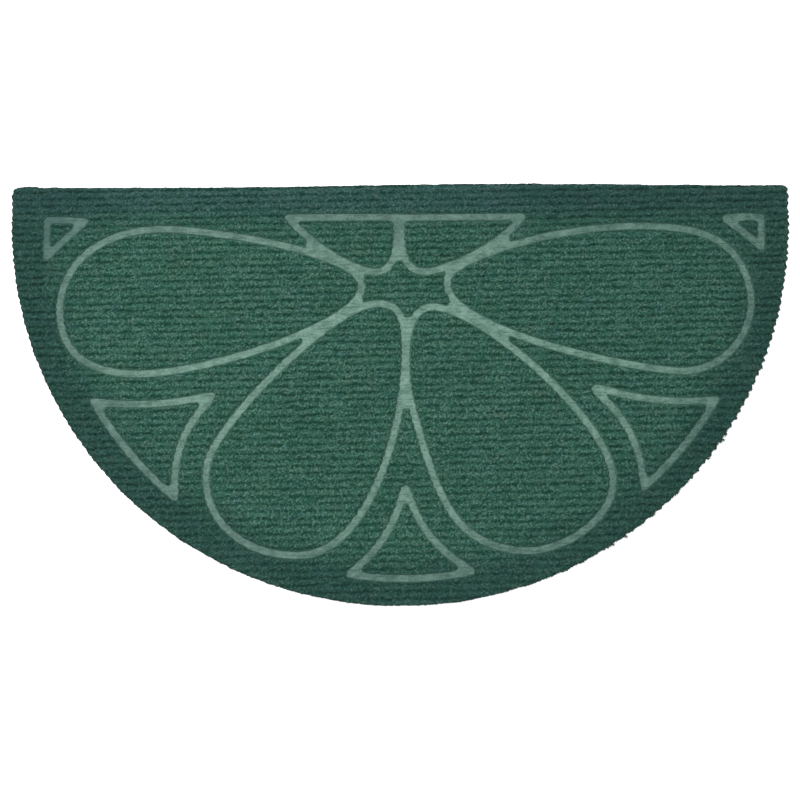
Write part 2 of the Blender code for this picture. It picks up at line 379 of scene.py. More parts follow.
# The pile: rows of small loops on ribs, with broken, wavy grooves between the ribs
pile = {
    "height": 5.75,  # where the loops start
    "grooveWidth": 0.95,
    "grooveDepths": (0.5, 1.65),
    "grooveBreaks": ((0.5, 7, ribs["pitch"], 23), (0.8, 2.0, ribs["pitch"], 24)),
    "grooveBand": (-0.4, 0.7),  # of those, from a shallow groove to a deep one
    "frontWorn": 0.25,  # how much shallower the grooves are at the front
    "frontBand": (60, 170),
    "crown": 0.25,
    "crownShading": 0.28,  # how much lighter a rib is painted than the groove beside it: painted light on the crest, painted shade in the groove
    "fuzz": ((0.85, 1.35, 27), (0.95, 2.1, 28)),
    "fuzzPatches": ((0.3, 3.6, 2.4, 29),),
    "fuzzHeight": 0.3,
    "fuzzTone": 0.85,
    "loopHeightShading": (0.6, 0.4),  # how much lighter a loop is painted that stands above this: a painted highlight on high loops
    "crushed": 0.7,  # how much of a loop is lost in a crushed patch
    "crushedCells": (10, 6, 25),
    "crushedBand": (0.4, 0.65),
    "crushedHeight": 0.3,
    "crushedTone": 0.5,
    "swell": ((0.12, 26, 17, 26),),
    "grooveShadeBand": (0.1, 1.7),  # of a groove, from light to dark: painted shade in the grooves
    "lineDrop": 0.72,  # how much of the pile is lost beside a pressed line
    "lineReach": 1.25,
    "cutDrop": 0.22,  # and how much of what is above cutFloor at the cut edge
    "cutReach": 1.6,
    "cutFloor": 2,
    # painted shade along the cut edge: how dark, over what reach, and in which patches
    "cutShade": 0.8,
    "cutShadeReach": 0.9,
    "cutShadePatches": (0.6, ((0.8, 3, 2, 46),)),
    "lineSides": ((0.4, 0.05, 0.12), (1.0, 0.05, 0.05)),  # how far down, how far out, roughness
    "lineRough": (1.3, 1.3, 42),
    "lineFoot": 0.3,  # how far below the lines they end
    "cutSides": ((0.3, 0.45), (0.1, 0.2)),  # how far out and roughness, at the same steps down
    "cutRough": (1.5, 1.5, 43),
    "cutFoot": 1.2,  # the height where they end
}
bigLoops = {"cell": 3.3, "rows": 2, "along": (1.3, 2.5), "across": (1.2, 2.1), "lift": (0.1, 0.9),
            "height": 0.35, "tone": 0.15, "seed": 11}
smallLoops = {"cell": 1.75, "rows": 4, "along": (0.8, 1.5), "across": (0.7, 1.3), "lift": (0.1, 1.0),
              "height": 0.8, "tone": 0.45, "seed": 12}
loopForm = {"shiftAlong": 0.45, "shiftAcross": 0.4, "lean": 0.6, "flatness": 0.8}


def loopsOf(u, v, loops):
    # Height and tone of the highest loop over each point
    random = np.random.default_rng(loops["seed"])

    def drawn(low, high):
        return random.uniform(low, high, (noiseCells, noiseCells))

    shiftU = drawn(-loopForm["shiftAlong"], loopForm["shiftAlong"])
    shiftV = drawn(-loopForm["shiftAcross"], loopForm["shiftAcross"])
    along, across, lift = drawn(*loops["along"]), drawn(*loops["across"]), drawn(*loops["lift"])
    lean = drawn(-loopForm["lean"], loopForm["lean"])
    shade = drawn(-1, 1)
    cellU, cellV = loops["cell"], ribs["pitch"] / loops["rows"]
    lowU, lowV = np.floor(u / cellU).astype(int), np.floor(v / cellV).astype(int)
    height, tone = np.zeros(u.shape), np.zeros(u.shape)
    for stepU in (-1, 0, 1):
        for stepV in (-1, 0, 1):
            i, j = lowU + stepU, lowV + stepV
            cell = (j % noiseCells, i % noiseCells)
            fromU = u - (i + 0.5 + shiftU[cell]) * cellU
            fromV = v - (j + 0.5 + shiftV[cell]) * cellV
            fromV = fromV + lean[cell] * fromU
            nearness = np.clip(1 - (fromU / along[cell]) ** 2 - (fromV / across[cell]) ** 2, 0, 1)
            risen = lift[cell] * nearness ** loopForm["flatness"]
            higher = risen > height
            height = np.where(higher, risen, height)
            tone = np.where(higher, shade[cell] * nearness, tone)
    return height, tone


def pileSurface():
    # Height of the pile over the whole grid, its tone with painted light on crests and high loops, and the
    # painted shade of its grooves and cut edge
    u, v = gridU, gridV
    wavy = wavyRibs(u, v)
    groove = np.round(wavy / ribs["pitch"]) * ribs["pitch"]
    low, high = pile["grooveDepths"]
    grooveDepth = low + (high - low) * ease(hills(u, groove, pile["grooveBreaks"]), *pile["grooveBand"])
    grooveDepth *= 1 - pile["frontWorn"] * ease(-planY, *pile["frontBand"])
    dip = grooveDepth * fade(np.abs(wavy - groove), pile["grooveWidth"])
    bigHeight, bigTone = loopsOf(u, wavy, bigLoops)
    smallHeight, smallTone = loopsOf(u, wavy, smallLoops)
    fuzz = fuzzOf(u, v, pile["fuzz"]) + hills(u, v, pile["fuzzPatches"])
    crushed = ease(softNoise(u, v, *pile["crushedCells"]), *pile["crushedBand"])
    loops = bigLoops["height"] * bigHeight + smallLoops["height"] * smallHeight + pile["fuzzHeight"] * fuzz
    loops = loops * (1 - pile["crushed"] * crushed) + pile["crushedHeight"] * crushed
    crest = ribCrest(u, v)
    height = pile["height"] + loops + pile["crown"] * crest + hills(u, v, pile["swell"]) - dip
    # The tone is the fibres' and loops' random tone, with painted light on high loops and on rib crests
    share, above = pile["loopHeightShading"]
    tone = (pile["fuzzTone"] * fuzz + bigLoops["tone"] * bigTone + smallLoops["tone"] * smallTone
            + share * (loops - above)) * (1 - pile["crushedTone"] * crushed)
    tone += pile["crownShading"] * crest
    # Painted shade: darker down in the grooves and, in patches, at the cut edge
    level, patches = pile["cutShadePatches"]
    depth = ease(dip, *pile["grooveShadeBand"])
    depth += pile["cutShade"] * fade(toCut, pile["cutShadeReach"]) * (level + hills(u, v, patches))
    kept = 1 - pile["lineDrop"] * fade(toLine, pile["lineReach"])
    height = plan["lineFloor"] + (height - plan["lineFloor"]) * kept
    height -= (height - pile["cutFloor"]) * pile["cutDrop"] * fade(toCut, pile["cutReach"])
    return height, tone, depth


planX, planY = backToPlan(gridU, gridV)
pileHeight, pileToneAndShading, pileShade = pileSurface()
print("pile: from", round(pileHeight[used].min(), 2), "to", round(pileHeight[used].max(), 2), "mm, tone",
      round(pileToneAndShading[used].mean(), 2), "spread", round(pileToneAndShading[used].std(), 2))


# How the colour changes over the mat. A band is where a change comes in, in millimetres.
shades = {
    "borderBand": (14, 58),  # the border is darker, and this is how far it reaches from the cut edge
    "paler": 0.4,  # it is least so along the left part of the straight edge
    "palerBand": (130, 165),
    "palerMiddle": -100,
    "palerEnds": (100, 250),
    "right": 0.08,  # the right half is a little darker
    "rightBand": (0, 120),
    "corners": (0.3, 0.5),  # and so are the left and right corners of the straight edge
    "cornerBand": (50, 150),
    "stripBand": (166, 182),  # greyer along the straight edge
    "stripRight": 0.6,  # but less so to the right
    "stripRightBand": (130, 230),
    "lineBand": (12, 130),  # the lines grow paler from the rim to the middle
    "blendReach": 0.95,  # where pile and pressed felt take on each other's colour, and on the pile also a painted light over the shade of the step down to a line
    "blendPatches": (0.75, ((0.5, 1.6, 1.6, 45),)),
}


def borderShade():
    fromMiddle = np.abs(planX - shades["palerMiddle"])
    paler = ease(planY, *shades["palerBand"]) * (1 - ease(fromMiddle, *shades["palerEnds"]))
    border = (1 - ease(toCut, *shades["borderBand"])) * (1 - shades["paler"] * paler)
    fromCorner = np.hypot(np.abs(planX) - plan["corner"][0], planY - plan["corner"][1])
    corners = np.where(planX < 0, *shades["corners"]) * (1 - ease(fromCorner, *shades["cornerBand"]))
    return border + (1 - border) * (shades["right"] * ease(planX, *shades["rightBand"]) + corners)


def besideLines():
    level, patches = shades["blendPatches"]
    return fade(toLine, shades["blendReach"]) * (level + hills(gridU, gridV, patches))


border = borderShade()
strip = ease(planY, *shades["stripBand"])
strip *= 1 - shades["stripRight"] * ease(planX, *shades["stripRightBand"])
lineBorder = 1 - ease(toCut, *shades["lineBand"])
beside = besideLines()


# Objects and meshes
def linked(name, data):
    made = bpy.data.objects.new(name, data)
    bpy.context.scene.collection.objects.link(made)
    return made


def feltPiece(name, mesh, material):
    mesh.materials.append(material)
    made = linked(name, mesh)
    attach(made, "root")
    return made


def makeMesh(name, points, faces, values, material):
    # A piece from arrays, with the values that its material reads at each point
    mesh = bpy.data.meshes.new(name)
    mesh.vertices.add(len(points))
    mesh.vertices.foreach_set("co", (np.asarray(points) * mm).astype(np.float32).ravel())
    faces = np.asarray(faces)
    mesh.loops.add(faces.size)
    mesh.loops.foreach_set("vertex_index", faces.astype(np.int32).ravel())
    mesh.polygons.add(len(faces))
    mesh.polygons.foreach_set("loop_start", np.arange(0, faces.size, faces.shape[1], dtype=np.int32))
    mesh.update(calc_edges=True)
    for label, numbers in values.items():
        layer = mesh.attributes.new(label, "FLOAT", "POINT")
        layer.data.foreach_set("value", np.asarray(numbers, dtype=np.float32))
    mesh.shade_smooth()
    return feltPiece(name, mesh, material)


def edgesOf(faces):
    return np.concatenate((faces[:, [0, 1]], faces[:, [1, 2]], faces[:, [2, 0]]))


def openEdges(faces):
    # Edges with a face on one side only, run with that face on their left
    edges = edgesOf(faces)
    scale = int(edges.max()) + 1
    keys, reverse = edges[:, 0] * scale + edges[:, 1], edges[:, 1] * scale + edges[:, 0]
    return edges[~np.isin(keys, reverse)]


def outwardAt(edges, x, y, count):
    # A level direction out of the sheet at each point of its open edges
    out = np.zeros((count, 2))
    run = np.stack((x[edges[:, 1]] - x[edges[:, 0]], y[edges[:, 1]] - y[edges[:, 0]]), 1)
    out[:, 0] += np.bincount(edges.ravel(), np.repeat(run[:, 1], 2), count)
    out[:, 1] -= np.bincount(edges.ravel(), np.repeat(run[:, 0], 2), count)
    return out / np.maximum(np.hypot(*out.T), tiny)[:, None]


def sideFaces(edges, upper, lower):
    # Two triangles under each edge, from its points in the upper ring to those in the lower one
    a, b = edges.T
    return [np.stack((lower[a], lower[b], upper[b]), 1), np.stack((lower[a], upper[b], upper[a]), 1)]


def sheetWithSides(name, faces, allEdges, place, values, sections, foot, material):
    # A sheet with sides that go down to the foot from those of its edges that are among allEdges.
    # Each section of the sides is (share of the way down, how far out).
    x, y, z = place
    count = total = len(x)
    own = edgesOf(faces)
    scale = count + 1
    edges = allEdges[np.isin(allEdges[:, 0] * scale + allEdges[:, 1], own[:, 0] * scale + own[:, 1])]
    out = outwardAt(allEdges, x, y, count)
    rim = np.unique(edges)
    points = [np.stack(place, 1)]
    numbers = {label: [value] for label, value in values.items()}
    upper = np.arange(count)
    allFaces = [faces]
    for share, distance in sections:
        points.append(np.stack((x[rim] + out[rim, 0] * distance[rim], y[rim] + out[rim, 1] * distance[rim],
                                z[rim] + (foot[rim] - z[rim]) * share), 1))
        lower = np.full(count, -1)
        lower[rim] = total + np.arange(len(rim))
        total += len(rim)
        for label, value in values.items():
            numbers[label].append(value[rim])
        allFaces += sideFaces(edges, upper, lower)
        upper = lower
    kept, index = np.unique(np.concatenate(allFaces), return_inverse=True)
    numbers = {label: np.concatenate(parts)[kept] for label, parts in numbers.items()}
    return makeMesh(name, np.concatenate(points)[kept], index.reshape(-1, 3), numbers, material)


# Finishes
class Wire:
    # A socket of a finish. A sum on it adds the node that works it out.
    def __init__(self, finish, socket):
        self.finish = finish
        self.socket = socket

    def worked(self, operation, first, second):
        kinds = {end.socket.type for end in (first, second) if isinstance(end, Wire)}
        if "RGBA" in kinds:
            return self.finish.mixed(1.0, first, second, operation)
        if "VECTOR" in kinds:
            return self.finish.node("ShaderNodeVectorMath", {"operation": operation},
                                    {"Vector": asVector(first), "Vector_001": asVector(second)}, "Vector")
        return self.finish.node("ShaderNodeMath", {"operation": operation},
                                {"Value": first, "Value_001": second})

    def __add__(self, other):
        return self.worked("ADD", self, other)

    def __radd__(self, other):
        return self.worked("ADD", other, self)

    def __sub__(self, other):
        return self.worked("SUBTRACT", self, other)

    def __rsub__(self, other):
        return self.worked("SUBTRACT", other, self)

    def __mul__(self, other):
        return self.worked("MULTIPLY", self, other)

    def __rmul__(self, other):
        return self.worked("MULTIPLY", other, self)

    def __truediv__(self, other):
        return self.worked("DIVIDE", self, other)

    def __rtruediv__(self, other):
        return self.worked("DIVIDE", other, self)

    def clipped(self, low, high):
        # 0 at low and 1 at high, and no further
        return self.finish.node("ShaderNodeMapRange", {"clamp": True},
                                {"Value": self, "From Min": low, "From Max": high})


def asVector(value):
    return (value,) * 3 if isinstance(value, (int, float)) else value


def asColour(value):
    return value if isinstance(value, Wire) else (*asVector(value), 1.0)


class Finish:
    def __init__(self, name):
        self.material = bpy.data.materials.new(name)
        self.material.use_nodes = True
        self.tree = self.material.node_tree
        self.tree.nodes.clear()

    def node(self, kind, settings, sockets, output=None):
        made = self.tree.nodes.new(kind)
        for label, value in settings.items():
            setattr(made, label, value)
        ends = {socket.identifier: socket for socket in made.inputs}
        for label, value in sockets.items():
            if isinstance(value, Wire):
                self.tree.links.new(value.socket, ends[label])
            else:
                ends[label].default_value = value
        exits = {socket.identifier: socket for socket in made.outputs}
        return Wire(self, exits[output] if output else next(iter(exits.values()))) if exits else None

    def mixed(self, factor, first, second, blend="MIX"):
        return self.node("ShaderNodeMix", {"data_type": "RGBA", "blend_type": blend},
                         {"Factor_Float": factor, "A_Color": asColour(first), "B_Color": asColour(second)},
                         "Result_Color")

    def toned(self, lightness, dark, middle, light):
        # The three colours in turn as the lightness goes from 0 to 1
        darker = self.mixed(lightness.clipped(0, 0.5), dark, middle)
        return self.mixed(lightness.clipped(0.5, 1), darker, light)

    def tinted(self, colour, factor, tint):
        return self.mixed(factor, colour, tint, "MULTIPLY")

    def places(self):
        # The piece's own coordinates, turned to run along the ribs, in millimetres
        own = self.node("ShaderNodeTexCoord", {}, {}, "Object")
        return self.node("ShaderNodeMapping", {},
                         {"Vector": own, "Rotation": Euler((0, 0, -math.radians(ribs["turn"]))),
                          "Scale": (1 / mm, 1 / mm, 1 / mm)})

    def noise(self, places, size, detail, roughness, stretch=(1, 1, 1)):
        # Soft noise from 0 to 1 with features of about this many millimetres
        scaled = places * tuple(1 / (size * part) for part in stretch)
        return self.node("ShaderNodeTexNoise", {},
                         {"Vector": scaled, "Scale": 1.0, "Detail": detail, "Roughness": roughness}, "Fac")

    def spots(self, places, own, *names):
        # The named noises of a finish, each from -0.5 to 0.5
        return [self.noise(places, *own[name]) - 0.5 for name in names]

    def value(self, label):
        return self.node("ShaderNodeAttribute", {"attribute_name": label}, {}, "Fac")

    def bump(self, height, strength, distance):
        return self.node("ShaderNodeBump", {},
                         {"Strength": strength, "Distance": distance * mm, "Height": height})

    def surface(self, sockets):
        shader = self.node("ShaderNodeBsdfPrincipled", {}, sockets)
        self.node("ShaderNodeOutputMaterial", {}, {"Surface": shader})
        return self.material


# In each finish, a noise is (size in millimetres, detail, roughness, stretch along the ribs), a share is how
# much the thing named changes the lightness, and a bump is (strength, height in millimetres)
pileFinish = {
    # the darkest tone, taken by dark fibres and by the painted shade in grooves and at the cut edge
    "deep": (0.0045, 0.0385, 0.0240),
    "body": (0.0203, 0.0822, 0.0553),
    # the lightest fibres; their greyer hue is a painted sheen
    "tip": (0.0840, 0.1750, 0.1370),
    # how much the tone, with its painted light on crests and high loops, changes the lightness
    "toneAndShadingShare": 0.355,
    # how much the painted shade of grooves and cut edge darkens the pile
    "grooveShadeShare": 0.44,
    "fibres": (1.6, 1.0, 0.7),
    "fibreShare": 1.6,
    "patches": (9.0, 2.0, 0.5, (1.6, 1, 1)),
    "patchShare": 0.27,
    "clouds": (60.0, 2.0, 0.5),
    "cloudShare": 0.2,
    "calmerBorder": 0.24,  # how much less the tone and the fibres show there
    "calmerStrip": 0.08,
    "bluer": (0.90, 0.93, 1.07),
    "bluerPatches": (7.0, 2.0, 0.6, (1.5, 1, 1)),
    "bluerFrom": 300,  # a part of the noise that nothing else uses
    "duller": (1.27, 0.94, 0.97),
    "dullerPatches": (10.0, 2.0, 0.6, (1.2, 1, 1)),
    "dullerFrom": 600,
    "patchBand": (0.5, 0.72),
    "clearTips": 0.7,  # how much less dull the bright tips are
    "tipBand": (0.45, 0.95),
    "beside": (0.080, 0.174, 0.134),  # where it meets a pressed line: partly the pressed felt's colour, partly painted light over the shade of the step
    "besideBand": (0.25, 1.3),
    "border": (0.605, 0.635, 0.695),
    "strip": (1.12, 1.0, 1.14),
    "grain": (0.45, 2.0, 0.6, (1.4, 0.7, 1)),
    "bump": (0.55, 0.35),
    "surface": {"Roughness": 0.95, "Specular IOR Level": 0.2, "Sheen Weight": 0.08, "Sheen Roughness": 0.5,
                "Sheen Tint": (0.6, 0.85, 0.75, 1.0)},
}


def makePileFinish():
    own = pileFinish
    finish = Finish("ribbedPile")
    places = finish.places()
    fibres, patches, clouds = finish.spots(places, own, "fibres", "patches", "clouds")
    spread = 1 - finish.value("border") * own["calmerBorder"] - finish.value("strip") * own["calmerStrip"]
    lightness = 0.5 + (finish.value("tone") * own["toneAndShadingShare"] + fibres * own["fibreShare"]) * spread
    lightness = lightness + patches * own["patchShare"] + clouds * own["cloudShare"]
    lightness = lightness - finish.value("depth") * own["grooveShadeShare"]
    colour = finish.toned(lightness, own["deep"], own["body"], own["tip"])
    bluer = finish.noise(places + own["bluerFrom"], *own["bluerPatches"]).clipped(*own["patchBand"])
    duller = finish.noise(places + own["dullerFrom"], *own["dullerPatches"]).clipped(*own["patchBand"])
    colour = finish.tinted(colour, bluer, own["bluer"])
    duller = duller * (1 - lightness.clipped(*own["tipBand"]) * own["clearTips"])
    colour = finish.tinted(colour, duller, own["duller"])
    # Paler beside the lines: partly a blend with the pressed felt, partly painted light over the shade of the
    # step
    colour = finish.mixed(finish.value("beside").clipped(*own["besideBand"]), colour, own["beside"])
    colour = finish.tinted(colour, finish.value("border"), own["border"])
    colour = finish.tinted(colour, finish.value("strip"), own["strip"])
    bump = finish.bump(finish.noise(places, *own["grain"]) + fibres, *own["bump"])
    return finish.surface({"Base Color": colour, "Normal": bump, **own["surface"]})


lineFinish = {
    "dark": (0.048, 0.120, 0.090),
    "pressed": (0.1045, 0.2055, 0.161),
    "bright": (0.168, 0.286, 0.229),
    "flecks": (1.5, 1.5, 0.7, (1.3, 0.8, 1)),
    "fleckShare": 1.7,
    "streaks": (2.6, 2.0, 0.5, (2.5, 0.8, 1)),
    "streakShare": 1.2,
    "clouds": (11.0, 2.0, 0.5),
    "cloudShare": 1.4,
    # The ribs' traces: how they wander, how wide they are in parts of a rib, and where they show
    "wander": (9.0, 1.0, 0.5),
    "wanderFar": 2.0,
    "traceBand": (0.02, 0.13),
    "traces": (5.0, 2.0, 0.5, (1.4, 1, 1)),
    "tracesBand": (0.38, 0.6),
    "traceShare": 0.42,
    "traceFaint": 0.4,  # and more where the line is faint
    "beside": (0.055, 0.142, 0.108),  # where fibres of the pile lie over it
    "besideFlecks": 1.2,
    "besideStreaks": 0.6,
    "besideFaint": (0.75, 0.6),
    "besideBand": (0.3, 1.1),
    "border": (0.645, 0.68, 0.70),
    "faint": (0.66, 0.78, 0.83),
    "roughness": (0.62, 0.3),  # and how much the flecks change it
    "grain": (0.4, 2.0, 0.5),
    "grainShare": 0.5,
    "bump": (0.35, 0.2),
    "surface": {"Specular IOR Level": 0.3, "Sheen Weight": 0.05},
}


def makeLineFinish():
    own = lineFinish
    finish = Finish("pressedFelt")
    places = finish.places()
    across = finish.node("ShaderNodeSeparateXYZ", {}, {"Vector": places}, "Y")
    wander, flecks, streaks, clouds = finish.spots(places, own, "wander", "flecks", "streaks", "clouds")
    phase = (across + wander * own["wanderFar"]) / ribs["pitch"]
    fromTrace = finish.node("ShaderNodeMath", {"operation": "PINGPONG"}, {"Value": phase, "Value_001": 0.5})
    shown = finish.noise(places, *own["traces"]).clipped(*own["tracesBand"])
    trace = (1 - fromTrace.clipped(*own["traceBand"])) * shown
    faint = finish.value("faint")
    lightness = 0.5 + flecks * own["fleckShare"] + streaks * own["streakShare"] + clouds * own["cloudShare"]
    lightness = lightness - trace * (own["traceShare"] + faint * own["traceFaint"])
    colour = finish.toned(lightness, own["dark"], own["pressed"], own["bright"])
    faintShare, traceShare = own["besideFaint"]
    over = finish.value("beside") + flecks * own["besideFlecks"] + streaks * own["besideStreaks"]
    over = over + faint * (faintShare + trace * traceShare)
    colour = finish.mixed(over.clipped(*own["besideBand"]), colour, own["beside"])
    colour = finish.tinted(colour, finish.value("border"), own["border"])
    colour = finish.tinted(colour, faint, own["faint"])
    bump = finish.bump(flecks + finish.noise(places, *own["grain"]) * own["grainShare"], *own["bump"])
    roughness, fleckRoughness = own["roughness"]
    return finish.surface({"Base Color": colour, "Roughness": roughness + flecks * fleckRoughness,
                           "Normal": bump, **own["surface"]})


backFinish = {
    "felt": (0.030, 0.042, 0.038),
    "light": (0.075, 0.090, 0.080),
    "level": 0.3,
    "fibres": (0.9, 3.0, 0.65),
    "fibreShare": 1.4,
    "patches": (14.0, 2.0, 0.5),
    "patchShare": 0.8,
    "bump": (0.5, 0.3),
    "surface": {"Roughness": 0.85, "Specular IOR Level": 0.25},
}


def makeBackFinish():
    own = backFinish
    finish = Finish("darkBack")
    places = finish.places()
    fibres = finish.noise(places, *own["fibres"])
    patches = finish.noise(places, *own["patches"]) - 0.5
    lightness = (fibres - 0.5) * own["fibreShare"] + patches * own["patchShare"] + own["level"]
    colour = finish.mixed(lightness.clipped(0, 1), own["felt"], own["light"])
    return finish.surface({"Base Color": colour, "Normal": finish.bump(fibres, *own["bump"]),
                           **own["surface"]})


fringeFinish = {
    "dark": (0.015, 0.026, 0.022),
    "light": (0.060, 0.078, 0.068),
    "green": (0.020, 0.068, 0.047),
    "greenShares": (0.25, 0.55),  # everywhere, and more in patches
    "patches": (8.0, 2.0, 0.5),
    "patchBand": (0.42, 0.62),
    "surface": {"Roughness": 0.9, "Specular IOR Level": 0.2},
}


def makeFringeFinish():
    own = fringeFinish
    finish = Finish("cutFibres")
    patches = finish.noise(finish.places(), *own["patches"]).clipped(*own["patchBand"])
    colour = finish.mixed(finish.value("shade"), own["dark"], own["light"])
    level, more = own["greenShares"]
    colour = finish.mixed(level + patches * more, colour, own["green"])
    return finish.surface({"Base Color": colour, **own["surface"]})


pileMaterial = makePileFinish()
lineMaterial = makeLineFinish()
fringeMaterial = makeFringeFinish()
backMaterial = makeBackFinish()
print("finishes: pile, pressed lines, fringe and back")


# The pieces of pile, each named by a plan point that it holds
pilePlaces = {
    "rightSidePetal": (208, 90),
    "leftSidePetal": (-204, 90),
    "rightLowerPetal": (90, -30),
    "leftLowerPetal": (-80, -30),
    "rightUpperPetal": (45, 140),
    "leftUpperPetal": (-40, 140),
    "flowerMiddle": (5, 100),
    "frontPanel": (5, -150),
    "rightSidePanel": (245, -30),
    "leftSidePanel": (-236, -30),
    "rightCornerPanel": (338, 155),
    "leftCornerPanel": (-329, 155),
    "border": (0, 190),  # made in two halves
}

cutEdges = openEdges(triangles)


def sideAt(place):
    # The bits of the pressed lines' outlines round a plan point
    return int(sideOf(alongRibs(np.array([place], dtype=float)), grid.outlines)[0] >> 1)


# The cut edge: each rib that ends at it swells out, and the groove beside it draws in
cutEdge = {
    "swell": 1.3,  # from a groove to the middle of a rib
    "ribShape": 1.3,
    "drawnIn": 0.65,
    "leftShare": 0.45,  # the left side is cut cleaner
    "leftBand": (-0.3, 0.4),
    "level": 0.1,
    "fuller": 0.35,  # more where the round side faces both ways
    "raggedFuller": 0.7,  # how much of that is lost on the ragged side
    "unevenness": 0.38,
    "unevenCells": ((0.6, 1.7, 1.7, 41), (0.8, 9, 9, 44)),
    "raggedMore": 0.5,  # more of that on the ragged side
    "raggedRight": (0.15, 0.6),  # which faces right and to the front
    "raggedFront": (0.1, 0.5),
}


def raggedAt(outward):
    # 1 on the ragged side, to the lower right
    return ease(outward[:, 0], *cutEdge["raggedRight"]) * ease(-outward[:, 1], *cutEdge["raggedFront"])


def swellAt(u, v, outward):
    # How far the felt stands out of the cut outline, where outward is the plan direction out of it
    across, onRagged = np.abs(outward @ ribAxis), raggedAt(outward)
    rib = (0.5 + 0.5 * ribCrest(u, v)) ** cutEdge["ribShape"]
    share = cutEdge["leftShare"] + (1 - cutEdge["leftShare"]) * ease(outward[:, 0], *cutEdge["leftBand"])
    ribSwell = (cutEdge["swell"] * rib - cutEdge["drawnIn"]) * across * share
    fuller = cutEdge["fuller"] * (2 * outward[:, 0] * np.minimum(outward[:, 1], 0)) ** 2
    fuller = fuller * (1 - cutEdge["raggedFuller"] * onRagged)
    uneven = cutEdge["unevenness"] * (1 + cutEdge["raggedMore"] * onRagged)
    return cutEdge["level"] + fuller + ribSwell + uneven * hills(u, v, cutEdge["unevenCells"])


cutOut = outwardAt(cutEdges, planX, planY, len(planX))
swell = np.where(grid.onCut.ravel(), swellAt(gridU, gridV, cutOut), 0)
pileX = planX + cutOut[:, 0] * swell
pileY = planY + cutOut[:, 1] * swell


def buildPile():
    values = {"tone": pileToneAndShading, "depth": pileShade, "border": border, "beside": beside, "strip": strip}
    onCut = grid.onCut.ravel()
    lineRough = softNoise(gridU, gridV, *pile["lineRough"])
    cutRough = softNoise(gridU, gridV, *pile["cutRough"])
    foot = np.where(onCut, pile["cutFoot"], plan["lineFloor"] - pile["lineFoot"])
    sections = []
    for (share, lineFar, lineUneven), (cutFar, cutUneven) in zip(pile["lineSides"], pile["cutSides"]):
        further = np.where(onCut, cutFar + cutUneven * cutRough, lineFar + lineUneven * lineRough)
        sections.append((share, further))
    pieces = []
    for name, place in pilePlaces.items():
        faces = triangles[sides == sideAt(place)]
        parts = {name: faces}
        if name == "border":
            middle = gridU[faces].mean(axis=1)
            parts = {"leftBorder": faces[middle < 0], "rightBorder": faces[middle >= 0]}
        for label, own in parts.items():
            pieces.append(sheetWithSides(label, own, openEdges(faces), (pileX, pileY, pileHeight), values,
                                         sections, foot, pileMaterial))
    return pieces


pilePieces = buildPile()
print("pile pieces:", {piece.name: len(piece.data.polygons) for piece in pilePieces})


# The pressed lines, with a trace of each groove
lines = {
    "waves": ((0.8, 9, 9, 51),),
    "traceDepth": 0.22,
    "traceWidth": 0.55,
    "relief": ((0.05, 1.3, 1.1, 52), (0.06, 4, 3, 53)),
    "foot": 0.7,  # how far down their sides go
    "faintPlace": (-342, 160, 34),  # where they were pressed least: x, y, reach
}


def buildLines():
    pressed = triangles[~np.isin(sides, [sideAt(place) for place in pilePlaces.values()])]
    wavy = gridV + hills(gridU, gridV, lines["waves"])
    fromGroove = np.abs(wavy - np.round(wavy / ribs["pitch"]) * ribs["pitch"])
    height = plan["lineFloor"] - lines["traceDepth"] * fade(fromGroove, lines["traceWidth"])
    height += hills(gridU, gridV, lines["relief"])
    x, y, reach = lines["faintPlace"]
    values = {"border": lineBorder, "beside": beside, "faint": fade(np.hypot(planX - x, planY - y), reach)}
    foot = np.full(len(gridU), plan["lineFloor"] - lines["foot"])
    return sheetWithSides("pressedLines", pressed, openEdges(pressed), (planX, planY, height), values,
                          [(1.0, np.zeros(len(gridU)))], foot, lineMaterial)


pressedLines = buildLines()
print("pressed lines:", len(pressedLines.data.polygons))


# Loose fibres in locks along the cut edge, and in tufts at the ribs' ends on its ragged side
fringe = {
    "spacing": 0.3,
    "height": (0.7, 5.2),  # of the roots
    "inset": 0.7,
    "length": (0.6, 1.5),
    "ribLength": 0.6,  # more at the end of a rib
    "ribBand": (-0.2, 0.9),
    "raggedLength": 1.2,  # more along the ragged side
    "clumps": (5, 5, 82),
    "clumpBand": (-0.3, 0.6),
    "straightShare": 0.45,  # how long the locks are along the straight edge
    "straightBand": (0.8, 0.95),
    "corner": (-375, 200),  # where they are longest
    "cornerBand": (25, 60),
    "cornerLength": 0.8,
    "tuftLocks": 20,
    "tuftWidth": 0.9,
    "tuftLength": (1.0, 3.4),
    "tuftParts": (0.6, 1.0),
    "tuftLeast": 0.4,
    "tuftTurn": 0.4,
    "tuftLean": 0.6,  # how far a tuft leans along its rib
    "strays": ((304, -48), (289, -66), (209, -139), (197, -146)),  # where one hangs out
    "strayLength": 5.4,
    "radius": (0.12, 0.26),
    "turn": 38.0,  # degrees to either side
    "bend": 0.45,
    "fall": (0.1, 0.8),  # how much of its height a lock loses
    "fallCurve": 1.5,
    "lift": 0.25,
    "stages": (0.0, 0.6, 1.0),
    "taper": (1.0, 0.8, 0.15),
    "sides": 3,
    "sidesTurn": 0.5,
    "seed": 81,
}


def counterclockwise(outline):
    turned = np.roll(outline, -1, axis=0)
    area = np.sum(outline[:, 0] * turned[:, 1] - turned[:, 0] * outline[:, 1])
    return outline if area > 0 else outline[::-1]


def ribEndsOf(outline):
    # The point of the outline at the middle of each rib's right end
    u, v = alongRibs(outline).T
    right = np.flatnonzero(u > 0)
    middles = np.arange(math.ceil(v.min() / ribs["pitch"]), math.floor(v.max() / ribs["pitch"]))
    return np.array([right[np.argmin(np.abs(v[right] - (rib + 0.5) * ribs["pitch"]))] for rib in middles])


def nearestOn(outline, places):
    return np.array([np.argmin(np.hypot(*(outline - place).T)) for place in places])


